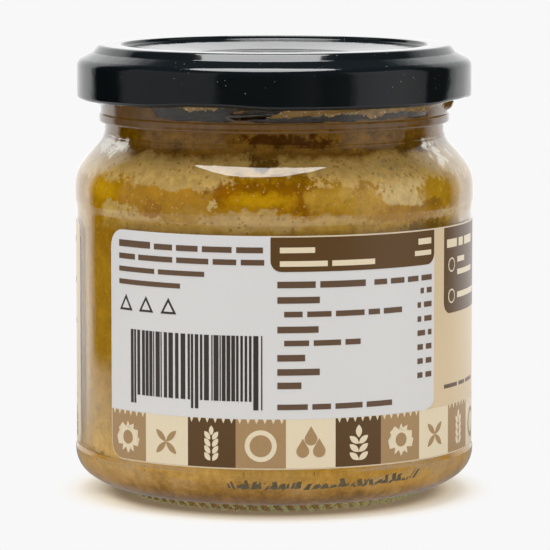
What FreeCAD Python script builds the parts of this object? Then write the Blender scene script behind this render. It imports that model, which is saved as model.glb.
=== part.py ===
"""A glass jar of mushroom spread, shut with a twist-off lid.

Four pieces, all turned about +Z: the pressed glass jar, the spread that fills it, the paper label
glued round its waist and the steel lid with its lugs.  The origin is the middle of the ring that
the jar stands on, and the front of the jar faces -Y.  Sizes are in millimetres and degrees.
"""
import FreeCAD, Part
import Sketcher
import math
import os

V = FreeCAD.Vector

# The driving sizes, one row of the sheet for each: name, value, what it is.
SIZES = [
    # The outside of the glass, from the foot up
    ("foot_radius", 24.6, "outside of the ring that the jar stands on"),
    ("foot_width", 2.4, "width of that ring"),
    ("foot_height", 1.1, "how far the ring stands below the heel"),
    ("tooth_count", 72, "teeth round the ring"),
    ("tooth_length", 1.4, "how far the gaps between teeth run in from outside"),
    ("tooth_gap", 1.25, "width of a gap where it is open"),
    ("tooth_depth", 0.85, "height of a gap"),
    ("push_up", 2.2, "how far the middle of the base stands up"),
    ("push_up_slope", 3.2, "width of the slope from the ring to the push-up"),
    ("push_up_bend", 2.0, "round at the top of that slope"),
    ("heel_width", 4.4, "from the bands in to where the underside turns up into the heel"),
    ("belly_height", 1.95, "height of that turn"),
    ("belly_bend", 8.0, "its round"),
    ("body_radius", 33.65, "the two bands that jars touch each other with"),
    ("heel_height", 4.7, "corner of the heel"),
    ("heel_bend", 5.0, "its round"),
    ("panel_depth", 0.3, "how deep the label's panel lies below the bands"),
    ("panel_bottom", 8.4, "lower end of the panel"),
    ("panel_drop", 27.25, "upper end of the panel, below the rim"),
    ("band_slope", 0.6, "height of the step between panel and band"),
    ("band_bend", 0.5, "round of that step"),
    ("shoulder_drop", 21.25, "corner where the shoulder starts to close in, below the rim"),
    ("shoulder_bend", 7.2, "its round"),
    ("slope_reach", 0.574257, "the middle of the shoulder, as a part of the way from neck to bands"),
    ("slope_drop", 18.35, "the middle of the shoulder, below the rim"),
    ("slope_bend", 12.4, "its round"),
    ("neck_radius", 28.6, "neck below the bead"),
    ("neck_drop", 15.2, "where the shoulder meets the neck, below the rim"),
    ("neck_bend", 3.6, "the hollow round there"),
    ("bead_stand", 0.95, "how far the bead below the lid stands out of the neck"),
    ("bead_drop", 12.65, "underside of the bead, below the rim"),
    ("bead_tall", 1.5, "height of the bead"),
    ("bead_bend", 0.35, "its rounds"),
    ("finish_stand", 0.7, "how far the finish, which the lid goes over, stands out of the neck"),
    ("jar_height", 75.35, "top of the rim"),
    ("rim_bend", 0.8, "rounds of the rim"),
    # The hollow of the glass
    ("wall", 2.3, "glass at the bands and at the neck"),
    ("inner_drop", 0.9, "how far the inner corners of the shoulder lie below the outer ones"),
    ("inner_bend", 6.0, "rounds of the inner shoulder"),
    ("floor_height", 4.0, "inner corner of the heel"),
    ("floor_rise", 1.4, "how much higher the middle of the floor is"),
    ("floor_bend", 5.0, "round of the inner heel"),
    # The spread
    ("fill_drop", 11.15, "where the spread ends on the glass, below the rim"),
    ("fill_dip", 0.9, "how far its top sinks beside the wall"),
    ("fill_bank", 3.0, "width of that sunk ring"),
    ("fill_mound", 1.6, "how far its middle stands above the sunk ring"),
    ("fill_bend", 2.0, "rounds of its top"),
    # The label
    ("label_thick", 0.1, "paper and glue"),
    ("label_blank", 1.0, "how thick the strip is while its corners are rounded"),
    ("label_low", 0.1, "lower edge, above the lower end of the panel"),
    ("label_high", 1.6, "upper edge, below the upper end of the panel"),
    ("label_sweep", 336.0, "how far it goes round"),
    ("label_start", -143.0, "where it starts, from +X"),
    ("label_corner", 3.0, "its rounded corners"),
    # The lid
    ("sheet", 0.25, "lacquered tinplate"),
    ("skirt_stand", 3.95, "how far the skirt's outside stands out of the finish"),
    ("skirt_drop", 9.0, "from the top of the lid to the bottom of the curl"),
    ("panel_clear", 1.1, "from the bore in to the foot of the wall round the sunk panel"),
    ("panel_wall", 0.75, "width of that wall"),
    ("panel_sink", 0.75, "how deep the edge of the panel lies"),
    ("panel_bend", 0.5, "rounds of that wall"),
    ("panel_dish", 0.95, "how far the vacuum draws the panel down from its edge to the button"),
    ("button_radius", 14.2, "the safety button in the middle of the panel"),
    ("button_slope", 0.8, "width of the step round it"),
    ("button_step", 0.25, "height of that step"),
    ("button_bend", 2.0, "rounds of that step"),
    ("crest_stand", 0.25, "how far the ring on the rim stands out of the finish"),
    ("crest_bend", 0.9, "its outer round"),
    ("step_stand", 1.2, "how far the foot of that ring stands out of the finish"),
    ("step_drop", 1.2, "its height below the ring's top"),
    ("step_bend", 0.6, "the hollow round there"),
    ("edge_drop", 2.6, "corner between top and skirt, below the ring's top"),
    ("edge_bend", 1.6, "its round"),
    ("curl_radius", 0.7, "outside of the rolled edge"),
    ("curl_turn", 290.0, "how far the edge is rolled"),
    ("lug_count", 4, "lugs"),
    ("lug_sweep", 18.0, "how far a lug goes round"),
    ("lug_middle", 70.0, "the middle of the first lug, from +X"),
    ("lug_clear", 1.05, "how near a lug comes to the wall of the finish"),
    ("lug_thick", 0.9, "height of a lug"),
    ("lug_bend", 0.3, "rounds of its edge"),
]

doc = FreeCAD.newDocument("spread_jar")
sheet = doc.addObject("Spreadsheet::Sheet", "Sizes")
for row, (name, size, meaning) in enumerate(SIZES, start=1):
    sheet.set("A%d" % row, name)
    sheet.set("B%d" % row, str(size))
    sheet.set("C%d" % row, meaning)
    sheet.setAlias("B%d" % row, name)
doc.recompute()


# ---- How an outline is written -----------------------------------------------------------------
# A corner is (radius, height, round).  Each is a size or a sum of sizes in words: "[wall] * 2".
# Heights of the neck and shoulder hang from the rim, so that a taller jar has a taller panel.

def bound(words):
    """The expression that ties a property to the sheet."""
    return words.replace("[", "Sizes.").replace("]", "")


def value(words):
    """What those words come to."""
    return sheet.evalExpression(bound(words))


def constrain(sketch, kind, where, words):
    """Adds a constraint whose size follows the sheet."""
    index = sketch.addConstraint(Sketcher.Constraint(kind, *where, value(words)))
    sketch.setExpression("Constraints[%d]" % index, bound(words))


def place_start(sketch, line, radius, height):
    """Holds the start of a line at its radius and height."""
    for kind, words, axis in (("DistanceX", radius, -2), ("DistanceY", height, -1)):
        if words == "0":
            sketch.addConstraint(Sketcher.Constraint("PointOnObject", line, 1, axis))
        else:
            constrain(sketch, kind, (-1, 1, line, 1), words)


def draw_lines(sketch, corners, closed):
    """Lines from corner to corner, joined end to end, with each start held to the sheet."""
    points = [V(value(radius), value(height), 0) for radius, height, bend in corners]
    count = len(points) if closed else len(points) - 1
    for i in range(count):
        sketch.addGeometry(Part.LineSegment(points[i], points[(i + 1) % len(points)]), False)
    for i in range(count if closed else count - 1):
        sketch.addConstraint(Sketcher.Constraint("Coincident", i, 2, (i + 1) % count, 1))
    for i in range(count):
        place_start(sketch, i, corners[i][0], corners[i][1])


def round_corners(sketch, corners):
    """Rounds the corners that have a round, and keeps the sharp corners as their dimensions."""
    for i, (radius, height, bend) in enumerate(corners):
        if bend:
            arc = sketch.GeometryCount
            sketch.fillet(i, 1, value(bend), True, True)
            constrain(sketch, "Radius", (arc,), bend)


def draw_outline(sketch, corners):
    draw_lines(sketch, corners, closed=True)
    round_corners(sketch, corners)


def origin_part(body, role):
    """One of a body's own planes or axes, such as XZ_Plane or Z_Axis."""
    return next(part for part in body.Origin.OriginFeatures if part.Role == role)


def new_sketch(body, name, role):
    sketch = body.newObject("Sketcher::SketchObject", name)
    sketch.AttachmentSupport = [(origin_part(body, role), "")]
    sketch.MapMode = "FlatFace"
    return sketch


def turned_body(label, corners, sweep="360"):
    """A body made by turning an outline about +Z."""
    body = doc.addObject("PartDesign::Body", label)
    body.Label = label
    outline = new_sketch(body, label + "_outline", "XZ_Plane")
    draw_outline(outline, corners)
    turn = body.newObject("PartDesign::Revolution", label + "_turn")
    turn.Profile = outline
    turn.ReferenceAxis = (outline, ["V_Axis"])
    turn.setExpression("Angle", bound(sweep))
    doc.recompute()
    return body


def turned_to(angle):
    return FreeCAD.Placement(V(0, 0, 0), FreeCAD.Rotation(V(0, 0, 1), angle))


# ---- The glass jar -----------------------------------------------------------------------------

BORE = "[neck_radius] - [wall]"
PANEL = "[body_radius] - [panel_depth]"
PANEL_TOP = "[jar_height] - [panel_drop]"
SLOPE = "[neck_radius] + ([body_radius] - [neck_radius]) * [slope_reach]"
FINISH = "[neck_radius] + [finish_stand]"
BEAD = "[neck_radius] + [bead_stand]"
BEAD_TOP = "[jar_height] - [bead_drop] + [bead_tall]"

# The hollow, from the middle of the floor up to the neck.  The glass and the spread share it.
HOLLOW = [
    ("0", "[floor_height] + [floor_rise]", None),
    ("[body_radius] - [wall]", "[floor_height]", "[floor_bend]"),
    ("[body_radius] - [wall]", "[jar_height] - [shoulder_drop] - [inner_drop]", "[inner_bend]"),
    (BORE, "[jar_height] - [neck_drop] - [inner_drop]", "[inner_bend]"),
]


def glass_jar():
    """Blown flint glass: foot, heel, a label panel between two bands, shoulder, neck and finish."""
    foot_inside = "[foot_radius] - [foot_width]"
    outside = [
        ("0", "[push_up]", None),
        (foot_inside + " - [push_up_slope]", "[push_up]", "[push_up_bend]"),
        (foot_inside, "0", None),
        ("[foot_radius]", "0", None),
        ("[foot_radius]", "[foot_height]", None),
        ("[body_radius] - [heel_width]", "[belly_height]", "[belly_bend]"),
        ("[body_radius]", "[heel_height]", "[heel_bend]"),
        ("[body_radius]", "[panel_bottom] - [band_slope]", "[band_bend]"),
        (PANEL, "[panel_bottom]", "[band_bend]"),
        (PANEL, PANEL_TOP, "[band_bend]"),
        ("[body_radius]", PANEL_TOP + " + [band_slope]", "[band_bend]"),
        ("[body_radius]", "[jar_height] - [shoulder_drop]", "[shoulder_bend]"),
        (SLOPE, "[jar_height] - [slope_drop]", "[slope_bend]"),
        ("[neck_radius]", "[jar_height] - [neck_drop]", "[neck_bend]"),
        ("[neck_radius]", "[jar_height] - [bead_drop]", None),
        (BEAD, "[jar_height] - [bead_drop]", "[bead_bend]"),
        (BEAD, BEAD_TOP, "[bead_bend]"),
        (FINISH, BEAD_TOP, None),
        (FINISH, "[jar_height]", "[rim_bend]"),
        (BORE, "[jar_height]", "[rim_bend]"),
    ]
    body = turned_body("glass_jar", outside + HOLLOW[::-1])
    cut_tooth_gaps(body)
    return body


def cut_tooth_gaps(body):
    """Notches the foot from outside.  Its inner half stays whole, a flat ring to stand on."""
    whole = body.Shape.Volume
    gap = new_sketch(body, "tooth_gap", "YZ_Plane")
    gap.setExpression("AttachmentOffset.Base.z", bound("[foot_radius] - [tooth_length]"))
    draw_gap(gap, "[tooth_gap] / 2", "[tooth_depth]")
    cut = body.newObject("PartDesign::Pocket", "tooth_gap_cut")
    cut.Profile = gap
    cut.Reversed = True
    cut.setExpression("Length", bound("[tooth_length] * 2"))
    doc.recompute()
    ring = body.newObject("PartDesign::PolarPattern", "tooth_gaps")
    ring.Originals = [cut]
    ring.Axis = (origin_part(body, "Z_Axis"), [""])
    ring.Angle = 360
    ring.setExpression("Occurrences", bound("[tooth_count]"))
    body.Tip = ring
    doc.recompute()
    if not body.Shape.Volume < whole:
        raise RuntimeError("the gaps between the teeth cut nothing")


def draw_gap(sketch, half_width, depth):
    """A V whose open side lies on the ground."""
    left, right = V(-value(half_width), 0, 0), V(value(half_width), 0, 0)
    top = V(0, value(depth), 0)
    for start, end in ((left, right), (right, top), (top, left)):
        sketch.addGeometry(Part.LineSegment(start, end), False)
    for i in range(3):
        sketch.addConstraint(Sketcher.Constraint("Coincident", i, 2, (i + 1) % 3, 1))
    for line, axis in ((0, -1), (1, -1), (2, -2)):
        sketch.addConstraint(Sketcher.Constraint("PointOnObject", line, 1, axis))
    constrain(sketch, "DistanceX", (0, 1, -1, 1), half_width)
    constrain(sketch, "DistanceX", (-1, 1, 1, 1), half_width)
    constrain(sketch, "DistanceY", (-1, 1, 2, 1), depth)


# ---- The spread --------------------------------------------------------------------------------

def spread():
    """The filling, against the glass all round, with a sunk ring and a low mound on its top."""
    edge = "[jar_height] - [fill_drop]"
    sunk = edge + " - [fill_dip]"
    top = [
        (BORE, edge, None),
        (BORE + " - [fill_bank]", sunk, "[fill_bend]"),
        ("0", sunk + " + [fill_mound]", None),
    ]
    return turned_body("spread", HOLLOW + top)


# ---- The label ---------------------------------------------------------------------------------

def strip(inner, outer):
    """The section of a strip as tall as the label."""
    low, high = "[panel_bottom] + [label_low]", PANEL_TOP + " - [label_high]"
    return [(inner, low, None), (outer, low, None), (outer, high, None), (inner, high, None)]


def label():
    """Paper glued round the panel, its four corners rounded, with a gap between its two ends."""
    face, blank = PANEL + " + [label_thick]", PANEL + " + [label_blank]"
    body = turned_body("label", strip(PANEL, blank), "[label_sweep]")
    turn = body.Tip
    thin = value("[label_blank]") * 1.01
    across = ["Edge%d" % i for i, edge in enumerate(turn.Shape.Edges, start=1) if edge.Length < thin]
    corners = body.newObject("PartDesign::Fillet", "label_corners")
    corners.Base = (turn, across)
    corners.setExpression("Radius", bound("[label_corner]"))
    waste = new_sketch(body, "label_waste", "XZ_Plane")
    draw_outline(waste, strip(face, blank + " + [label_blank]"))
    pare = body.newObject("PartDesign::Groove", "label_face")
    pare.Profile = waste
    pare.ReferenceAxis = (waste, ["V_Axis"])
    pare.Angle = 360
    body.Placement = turned_to(value("[label_start]"))
    doc.recompute()
    return body


# ---- The lid -----------------------------------------------------------------------------------

LID_TOP = "[jar_height] + [sheet]"
BUTTON = LID_TOP + " - [panel_sink] - [panel_dish] - [button_step]"
SKIRT = FINISH + " + [skirt_stand]"
CURL_MIDDLE = SKIRT + " - [curl_radius]"
CURL_HEIGHT = LID_TOP + " - [skirt_drop] + [curl_radius]"


def upright_sketch(name):
    """A sketch outside any body, with its own X along +X and its own Y up."""
    sketch = doc.addObject("Sketcher::SketchObject", name)
    sketch.Placement = FreeCAD.Placement(V(0, 0, 0), FreeCAD.Rotation(V(1, 0, 0), 90))
    return sketch


def lid_line():
    """The outer face of the sheet, from the middle of the lid out and down to its rolled edge."""
    sketch = upright_sketch("lid_line")
    corners = [
        ("0", BUTTON, None),
        ("[button_radius]", BUTTON, "[button_bend]"),
        ("[button_radius] + [button_slope]", BUTTON + " + [button_step]", "[button_bend]"),
        (BORE + " - [panel_clear]", LID_TOP + " - [panel_sink]", "[panel_bend]"),
        (BORE + " - [panel_clear] + [panel_wall]", LID_TOP, "[panel_bend]"),
        (FINISH + " + [crest_stand]", LID_TOP, "[crest_bend]"),
        (FINISH + " + [step_stand]", LID_TOP + " - [step_drop]", "[step_bend]"),
        (SKIRT, LID_TOP + " - [edge_drop]", "[edge_bend]"),
        (SKIRT, CURL_HEIGHT, None),
    ]
    draw_lines(sketch, corners, closed=False)
    skirt = len(corners) - 2
    sketch.addConstraint(Sketcher.Constraint("Vertical", skirt))
    constrain(sketch, "DistanceY", (-1, 1, skirt, 2), CURL_HEIGHT)
    roll = Part.Circle(V(value(CURL_MIDDLE), value(CURL_HEIGHT), 0), V(0, 0, 1), value("[curl_radius]"))
    turn = math.radians(value("[curl_turn]"))
    curl = sketch.addGeometry(Part.ArcOfCircle(roll, -turn, 0), False)
    sketch.addConstraint(Sketcher.Constraint("Tangent", curl, 2, skirt, 2))
    constrain(sketch, "Radius", (curl,), "[curl_radius]")
    constrain(sketch, "Angle", (curl,), "[curl_turn] * 1deg")
    round_corners(sketch, corners)
    return sketch


def turned_shape(name, source, angle, solid):
    """A section turned about +Z."""
    turn = doc.addObject("Part::Revolution", name)
    turn.Source = source
    turn.Axis = V(0, 0, 1)
    turn.setExpression("Angle", bound(angle))
    turn.Solid = solid
    return turn


def lug(section, number):
    """A tab pressed in from the curl, which grips under a thread of the finish."""
    piece = turned_shape("lug_%d" % number, section, "[lug_sweep]", True)
    step = 360 / value("[lug_count]")
    piece.Placement = turned_to(value("[lug_middle] - [lug_sweep] / 2") + step * number)
    return piece


def lid():
    """Lacquered tinplate: a panel with its button, the ring on the rim, skirt, curl and lugs."""
    skin = doc.addObject("Part::Offset2D", "lid_skin")
    skin.Source = lid_line()
    skin.Mode = "Skin"
    skin.Fill = True
    skin.setExpression("Value", bound("-[sheet]"))
    doc.recompute()
    shell = turned_shape("lid_shell", skin, "360", False)
    section = upright_sketch("lug_section")
    low = CURL_HEIGHT + " - [lug_thick] / 2"
    high = CURL_HEIGHT + " + [lug_thick] / 2"
    tip = FINISH + " + [lug_clear]"
    draw_outline(section, [
        (tip, low, "[lug_bend]"),
        (CURL_MIDDLE, low, None),
        (CURL_MIDDLE, high, None),
        (tip, high, "[lug_bend]"),
    ])
    doc.recompute()
    whole = doc.addObject("Part::MultiFuse", "lid")
    whole.Label = "lid"
    whole.Shapes = [shell] + [lug(section, number) for number in range(int(value("[lug_count]")))]
    doc.recompute()
    return whole


# ---- Build, check and write --------------------------------------------------------------------

pieces = [glass_jar(), spread(), label(), lid()]
for item in doc.Objects:
    if "Invalid" in item.State or "Error" in item.State:
        raise RuntimeError("%s failed: %s" % (item.Name, item.State))
    if item.TypeId == "Sketcher::SketchObject" and not item.FullyConstrained:
        raise RuntimeError("%s isn't fully constrained" % item.Name)
os.makedirs("parts", exist_ok=True)
for piece in pieces:
    shape = piece.Shape
    if shape.isNull() or not shape.isValid() or len(shape.Solids) != 1:
        raise RuntimeError("%s isn't one valid solid" % piece.Label)
    shape.exportStep("parts/%s.step" % piece.Label)
    print("%-10s %9.1f mm3" % (piece.Label, shape.Volume))
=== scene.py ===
"""A glass jar of mushroom spread, shut with its black twist-off lid.

Radii and heights are written in millimetres and turned to metres when a mesh is made.  Azimuths
are in degrees from the front of the jar, which faces -Y, and grow towards its right side.
"""
import math
import bmesh
import bpy
import numpy as np
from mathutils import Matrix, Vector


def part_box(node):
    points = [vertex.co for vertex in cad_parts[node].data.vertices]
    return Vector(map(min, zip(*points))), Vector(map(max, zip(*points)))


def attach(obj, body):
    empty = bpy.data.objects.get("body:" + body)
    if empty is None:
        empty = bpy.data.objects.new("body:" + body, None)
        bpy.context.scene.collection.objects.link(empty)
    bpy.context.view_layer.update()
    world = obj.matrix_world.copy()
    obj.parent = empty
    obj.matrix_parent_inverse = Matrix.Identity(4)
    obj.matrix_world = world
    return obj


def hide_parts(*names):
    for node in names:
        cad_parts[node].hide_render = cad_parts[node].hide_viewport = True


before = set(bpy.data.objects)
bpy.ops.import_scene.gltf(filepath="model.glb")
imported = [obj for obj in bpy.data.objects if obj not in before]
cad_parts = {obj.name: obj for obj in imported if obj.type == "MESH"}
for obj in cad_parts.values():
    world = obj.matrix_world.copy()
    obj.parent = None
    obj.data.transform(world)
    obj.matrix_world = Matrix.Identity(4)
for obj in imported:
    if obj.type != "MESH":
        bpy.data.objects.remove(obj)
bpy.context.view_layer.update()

# ---- The glass jar -----------------------------------------------------------------------------
# Pressed and blown flint glass: a ring of rounded teeth to stand on, a heel, a label panel sunk
# between two bands, the shoulder, a bead, and a finish whose four threads hold the lugs of the lid.

MM = 0.001
glass_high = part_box("glass_jar")[1]
BODY = glass_high.x / MM
RIM = glass_high.z / MM
WALL = 2.3
PANEL = BODY - 0.3
PANEL_LOW, PANEL_HIGH = 8.4, RIM - 27.25
SHOULDER = RIM - 21.25
SLOPE = RIM - 18.35
NECK, NECK_LOW = 28.6, RIM - 15.2
BORE = NECK - WALL
BEAD, BEAD_LOW, BEAD_TALL = NECK + 0.95, RIM - 12.65, 1.5
FINISH = NECK + 0.7
FOOT, FOOT_WIDE, FOOT_TALL = 24.6, 2.4, 1.1
HOLLOW_DROP = 0.9
SEAM, SEAM_STAND, SEAM_HALF = RIM - 14.85, 0.06, 0.16
TEETH, TOOTH_DEEP, TOOTH_IN = 72, 0.8, 0.4
TOOTH_LEAN = 1.6  # degrees for each millimetre up
THREADS, THREAD_START, THREAD_SWEEP = 4, -16.0, 108.0
THREAD_LOW, THREAD_RISE, THREAD_STAND, THREAD_HALF = 65.45, 3.1, 1.0, 0.8
AIR_BEHIND = 62.4, 63.4  # between these heights the spread behind the glass gives way to air


def rounded(corners, steps=8):
    """The line through corners of radius, height and round, with an arc in place of each round."""
    points = [np.array(corner[:2], float) for corner in corners]
    line = [points[0]]
    for before, here, after, corner in zip(points, points[1:], points[2:], corners[1:]):
        bend = corner[2]
        if not bend:
            line.append(here)
            continue
        back = (before - here) / np.linalg.norm(before - here)
        ahead = (after - here) / np.linalg.norm(after - here)
        half = math.acos(np.clip(back @ ahead, -1, 1)) / 2
        inward = (back + ahead) / np.linalg.norm(back + ahead)
        middle = here + inward * bend / math.sin(half)
        first = here + back * bend / math.tan(half) - middle
        last = here + ahead * bend / math.tan(half) - middle
        start = math.atan2(first[1], first[0])
        turn = (math.atan2(last[1], last[0]) - start + math.pi) % (2 * math.pi) - math.pi
        for step in range(steps + 1):
            angle = start + turn * step / steps
            line.append(middle + bend * np.array([math.cos(angle), math.sin(angle)]))
    line.append(points[-1])
    return np.array(line)


def cut_up(line, step, inner, outer, low, high):
    """Divides the stretches of a line that lie inside a window, for relief to be pressed there."""
    fine = [line[0]]
    for start, end in zip(line, line[1:]):
        inside = all(inner <= p[0] <= outer and low <= p[1] <= high for p in (start, end))
        count = max(1, math.ceil(np.linalg.norm(end - start) / step)) if inside else 1
        fine += [start + (end - start) * i / count for i in range(1, count + 1)]
    return np.array(fine)


def face_outwards(mesh):
    shell = bmesh.new()
    shell.from_mesh(mesh)
    bmesh.ops.remove_doubles(shell, verts=shell.verts, dist=MM * 0.0005)
    bmesh.ops.recalc_face_normals(shell, faces=shell.faces)
    shell.to_mesh(mesh)
    shell.free()


def new_piece(name, mesh, finish, smooth_under=math.radians(50)):
    piece = bpy.data.objects.new(name, mesh)
    bpy.context.scene.collection.objects.link(piece)
    mesh.materials.clear()
    mesh.materials.append(finish)
    mesh.shade_smooth()
    mesh.set_sharp_from_angle(angle=smooth_under)
    return piece


def turned(name, line, columns, press=None):
    """A closed mesh turned about +Z from a line whose two ends lie on the axis."""
    angle = np.arange(columns) * 360 / columns
    radius, angle = np.meshgrid(line[1:-1, 0], angle, indexing="ij")
    height = np.meshgrid(line[1:-1, 1], angle[0], indexing="ij")[0]
    if press:
        radius, height = press(radius, height, angle)
    turn = np.radians(angle)
    ring = np.stack([radius * np.sin(turn), -radius * np.cos(turn), height], axis=-1)
    rows = len(line) - 2
    points = [(0, 0, line[0, 1]), (0, 0, line[-1, 1])] + [tuple(p) for p in ring.reshape(-1, 3)]

    def at(row, column):
        return 2 + row * columns + column % columns

    faces = [(0, at(0, c + 1), at(0, c)) for c in range(columns)]
    faces += [(at(r, c), at(r, c + 1), at(r + 1, c + 1), at(r + 1, c))
              for r in range(rows - 1) for c in range(columns)]
    faces += [(at(rows - 1, c), at(rows - 1, c + 1), 1) for c in range(columns)]
    mesh = bpy.data.meshes.new(name)
    mesh.from_pydata([(x * MM, y * MM, z * MM) for x, y, z in points], [], faces)
    face_outwards(mesh)
    return mesh


def ease(value, start, end):
    """0 before start, 1 past end, with a smooth step between."""
    along = np.clip((value - start) / (end - start), 0, 1)
    return along * along * (3 - 2 * along)


def press_glass(radius, height, angle):
    """Presses the teeth into the foot, the seam of the mould round the neck, and the threads."""
    gap = 0.5 - 0.5 * np.cos(np.radians(TEETH * (angle + TOOTH_LEAN * height)))
    foot = ease(radius, FOOT - 1.5, FOOT - 0.5) * ease(-height, -FOOT_TALL, -0.1)
    outside = ease(radius, FINISH - 0.1, FINISH - 0.02) * ease(height, BEAD_LOW + 1.7, BEAD_LOW + 2.0)
    seam = np.clip(1 - ((height - SEAM) / SEAM_HALF) ** 2, 0, 1) * (radius > BORE + 1)
    stand = np.zeros_like(radius)
    for number in range(THREADS):
        along = (angle - THREAD_START - 360 / THREADS * number) % 360
        middle = THREAD_LOW + THREAD_RISE * along / 90
        ends = ease(along, 0, 5) * ease(-along, -THREAD_SWEEP, -THREAD_SWEEP + 16)
        ridge = np.clip(1 - ((height - middle) / (THREAD_HALF * (0.35 + 0.65 * ends))) ** 2, 0, 1)
        stand = np.maximum(stand, THREAD_STAND * ends * ridge ** 0.8)
    radius = radius - TOOTH_IN * gap * foot + stand * outside + SEAM_STAND * seam
    return radius, height + TOOTH_DEEP * gap * foot


HOLLOW = [  # radius, height, round
    (0, 5.4, 0),
    (BODY - WALL, 4.0, 5.0),
    (BODY - WALL, SHOULDER - HOLLOW_DROP, 6.0),
    (BORE, NECK_LOW - HOLLOW_DROP, 6.0),
]
glass_outside = [  # radius, height, round
    (0, 2.2, 0),
    (FOOT - FOOT_WIDE - 3.2, 2.2, 2.0),
    (FOOT - FOOT_WIDE, 0, 0.2),
    (FOOT, 0, 0.3),
    (FOOT, FOOT_TALL, 0.15),
    (BODY - 4.4, 1.95, 8.0),
    (BODY, 4.7, 5.0),
    (BODY, PANEL_LOW - 0.6, 0.5),
    (PANEL, PANEL_LOW, 0.5),
    (PANEL, PANEL_HIGH, 3.0),
    (BODY, PANEL_HIGH + 1.6, 3.0),
    (BODY, SHOULDER, 7.2),
    (NECK + 2.9, SLOPE, 12.4),
    (NECK, NECK_LOW, 3.6),
    (NECK, BEAD_LOW, 0.15),
    (BEAD, BEAD_LOW, 0.35),
    (BEAD, BEAD_LOW + BEAD_TALL, 0.35),
    (FINISH, BEAD_LOW + BEAD_TALL, 0.15),
    (FINISH, RIM, 0.8),
    (BORE, RIM, 0.8),
]
glass_line = rounded(glass_outside + HOLLOW[::-1], steps=6)
glass_line = cut_up(glass_line, 0.2, FINISH - 0.1, FINISH + 0.1, BEAD_LOW + BEAD_TALL, RIM - 0.7)
glass_line = cut_up(glass_line, 0.35, FOOT - FOOT_WIDE, FOOT, -0.1, FOOT_TALL)
glass_line = cut_up(glass_line, 0.07, NECK - 0.1, NECK + 1.2, SEAM - 0.6, SEAM + 0.6)


def light_of(value):
    """One channel of a colour, from 0 to 255 as a screen shows it, as an amount of light."""
    value /= 255
    return value / 12.92 if value <= 0.04045 else ((value + 0.055) / 1.055) ** 2.4


def tint(red, green, blue):
    return light_of(red), light_of(green), light_of(blue), 1.0


class Mark:
    """A socket of a node tree.  Sums on marks add the Math nodes that work them out."""

    def __init__(self, web, socket):
        self.web, self.socket = web, socket

    def sum(self, operation, *values):
        return self.web.node("ShaderNodeMath", {"operation": operation}, dict(enumerate(values)))

    def __add__(self, other):
        return self.sum("ADD", self, other)

    def __sub__(self, other):
        return self.sum("SUBTRACT", self, other)

    def __rsub__(self, other):
        return self.sum("SUBTRACT", other, self)

    def __mul__(self, other):
        return self.sum("MULTIPLY", self, other)

    def __truediv__(self, other):
        return self.sum("DIVIDE", self, other)

    def __pow__(self, other):
        return self.sum("POWER", self, other)

    __radd__, __rmul__ = __add__, __mul__


class Web:
    """A node tree, with each node added by one call."""

    def __init__(self, tree):
        self.tree = tree

    def node(self, kind, settings=None, inputs=None, output=0):
        node = self.tree.nodes.new(kind)
        for name, setting in (settings or {}).items():
            if name == "stops":
                self.set_stops(node.color_ramp, setting)
            else:
                setattr(node, name, setting)
        for name, given in (inputs or {}).items():
            if isinstance(given, Mark):
                self.tree.links.new(given.socket, node.inputs[name])
            else:
                node.inputs[name].default_value = given
        return Mark(self, node.outputs[output]) if len(node.outputs) else node

    @staticmethod
    def set_stops(ramp, stops):
        ramp.elements.remove(ramp.elements[1])
        ramp.elements[0].position, ramp.elements[0].color = stops[0]
        for place, colour in stops[1:]:
            ramp.elements.new(place).color = colour

    def mix(self, factor, first, second):
        """From the first colour to the second."""
        inputs = {0: factor, 6: first, 7: second}
        return self.node("ShaderNodeMix", {"data_type": "RGBA"}, inputs, output=2)

    def step(self, value, low, high):
        """0 below low, 1 above high, smooth between."""
        inputs = {"Value": value, "From Min": low, "From Max": high}
        return self.node("ShaderNodeMapRange", {"interpolation_type": "SMOOTHSTEP"}, inputs)

    def noise(self, size, detail=2.0, place=None, rough=0.5):
        """Noise from 0 to 1 whose lumps are about as many millimetres across."""
        inputs = {"Scale": 1 / (size * MM), "Detail": detail, "Roughness": rough,
                  "Vector": place or self.place()}
        return self.node("ShaderNodeTexNoise", {}, inputs)

    def place(self):
        return self.node("ShaderNodeTexCoord", output="Object")

    def split(self, vector):
        return [self.node("ShaderNodeSeparateXYZ", {}, {0: vector}, output=axis) for axis in "XYZ"]

    def finish(self, shader):
        self.node("ShaderNodeOutputMaterial", {}, {"Surface": shader})


def new_finish(name):
    material = bpy.data.materials.new(name)
    material.use_nodes = True
    material.node_tree.nodes.clear()
    return material, Web(material.node_tree)


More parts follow.
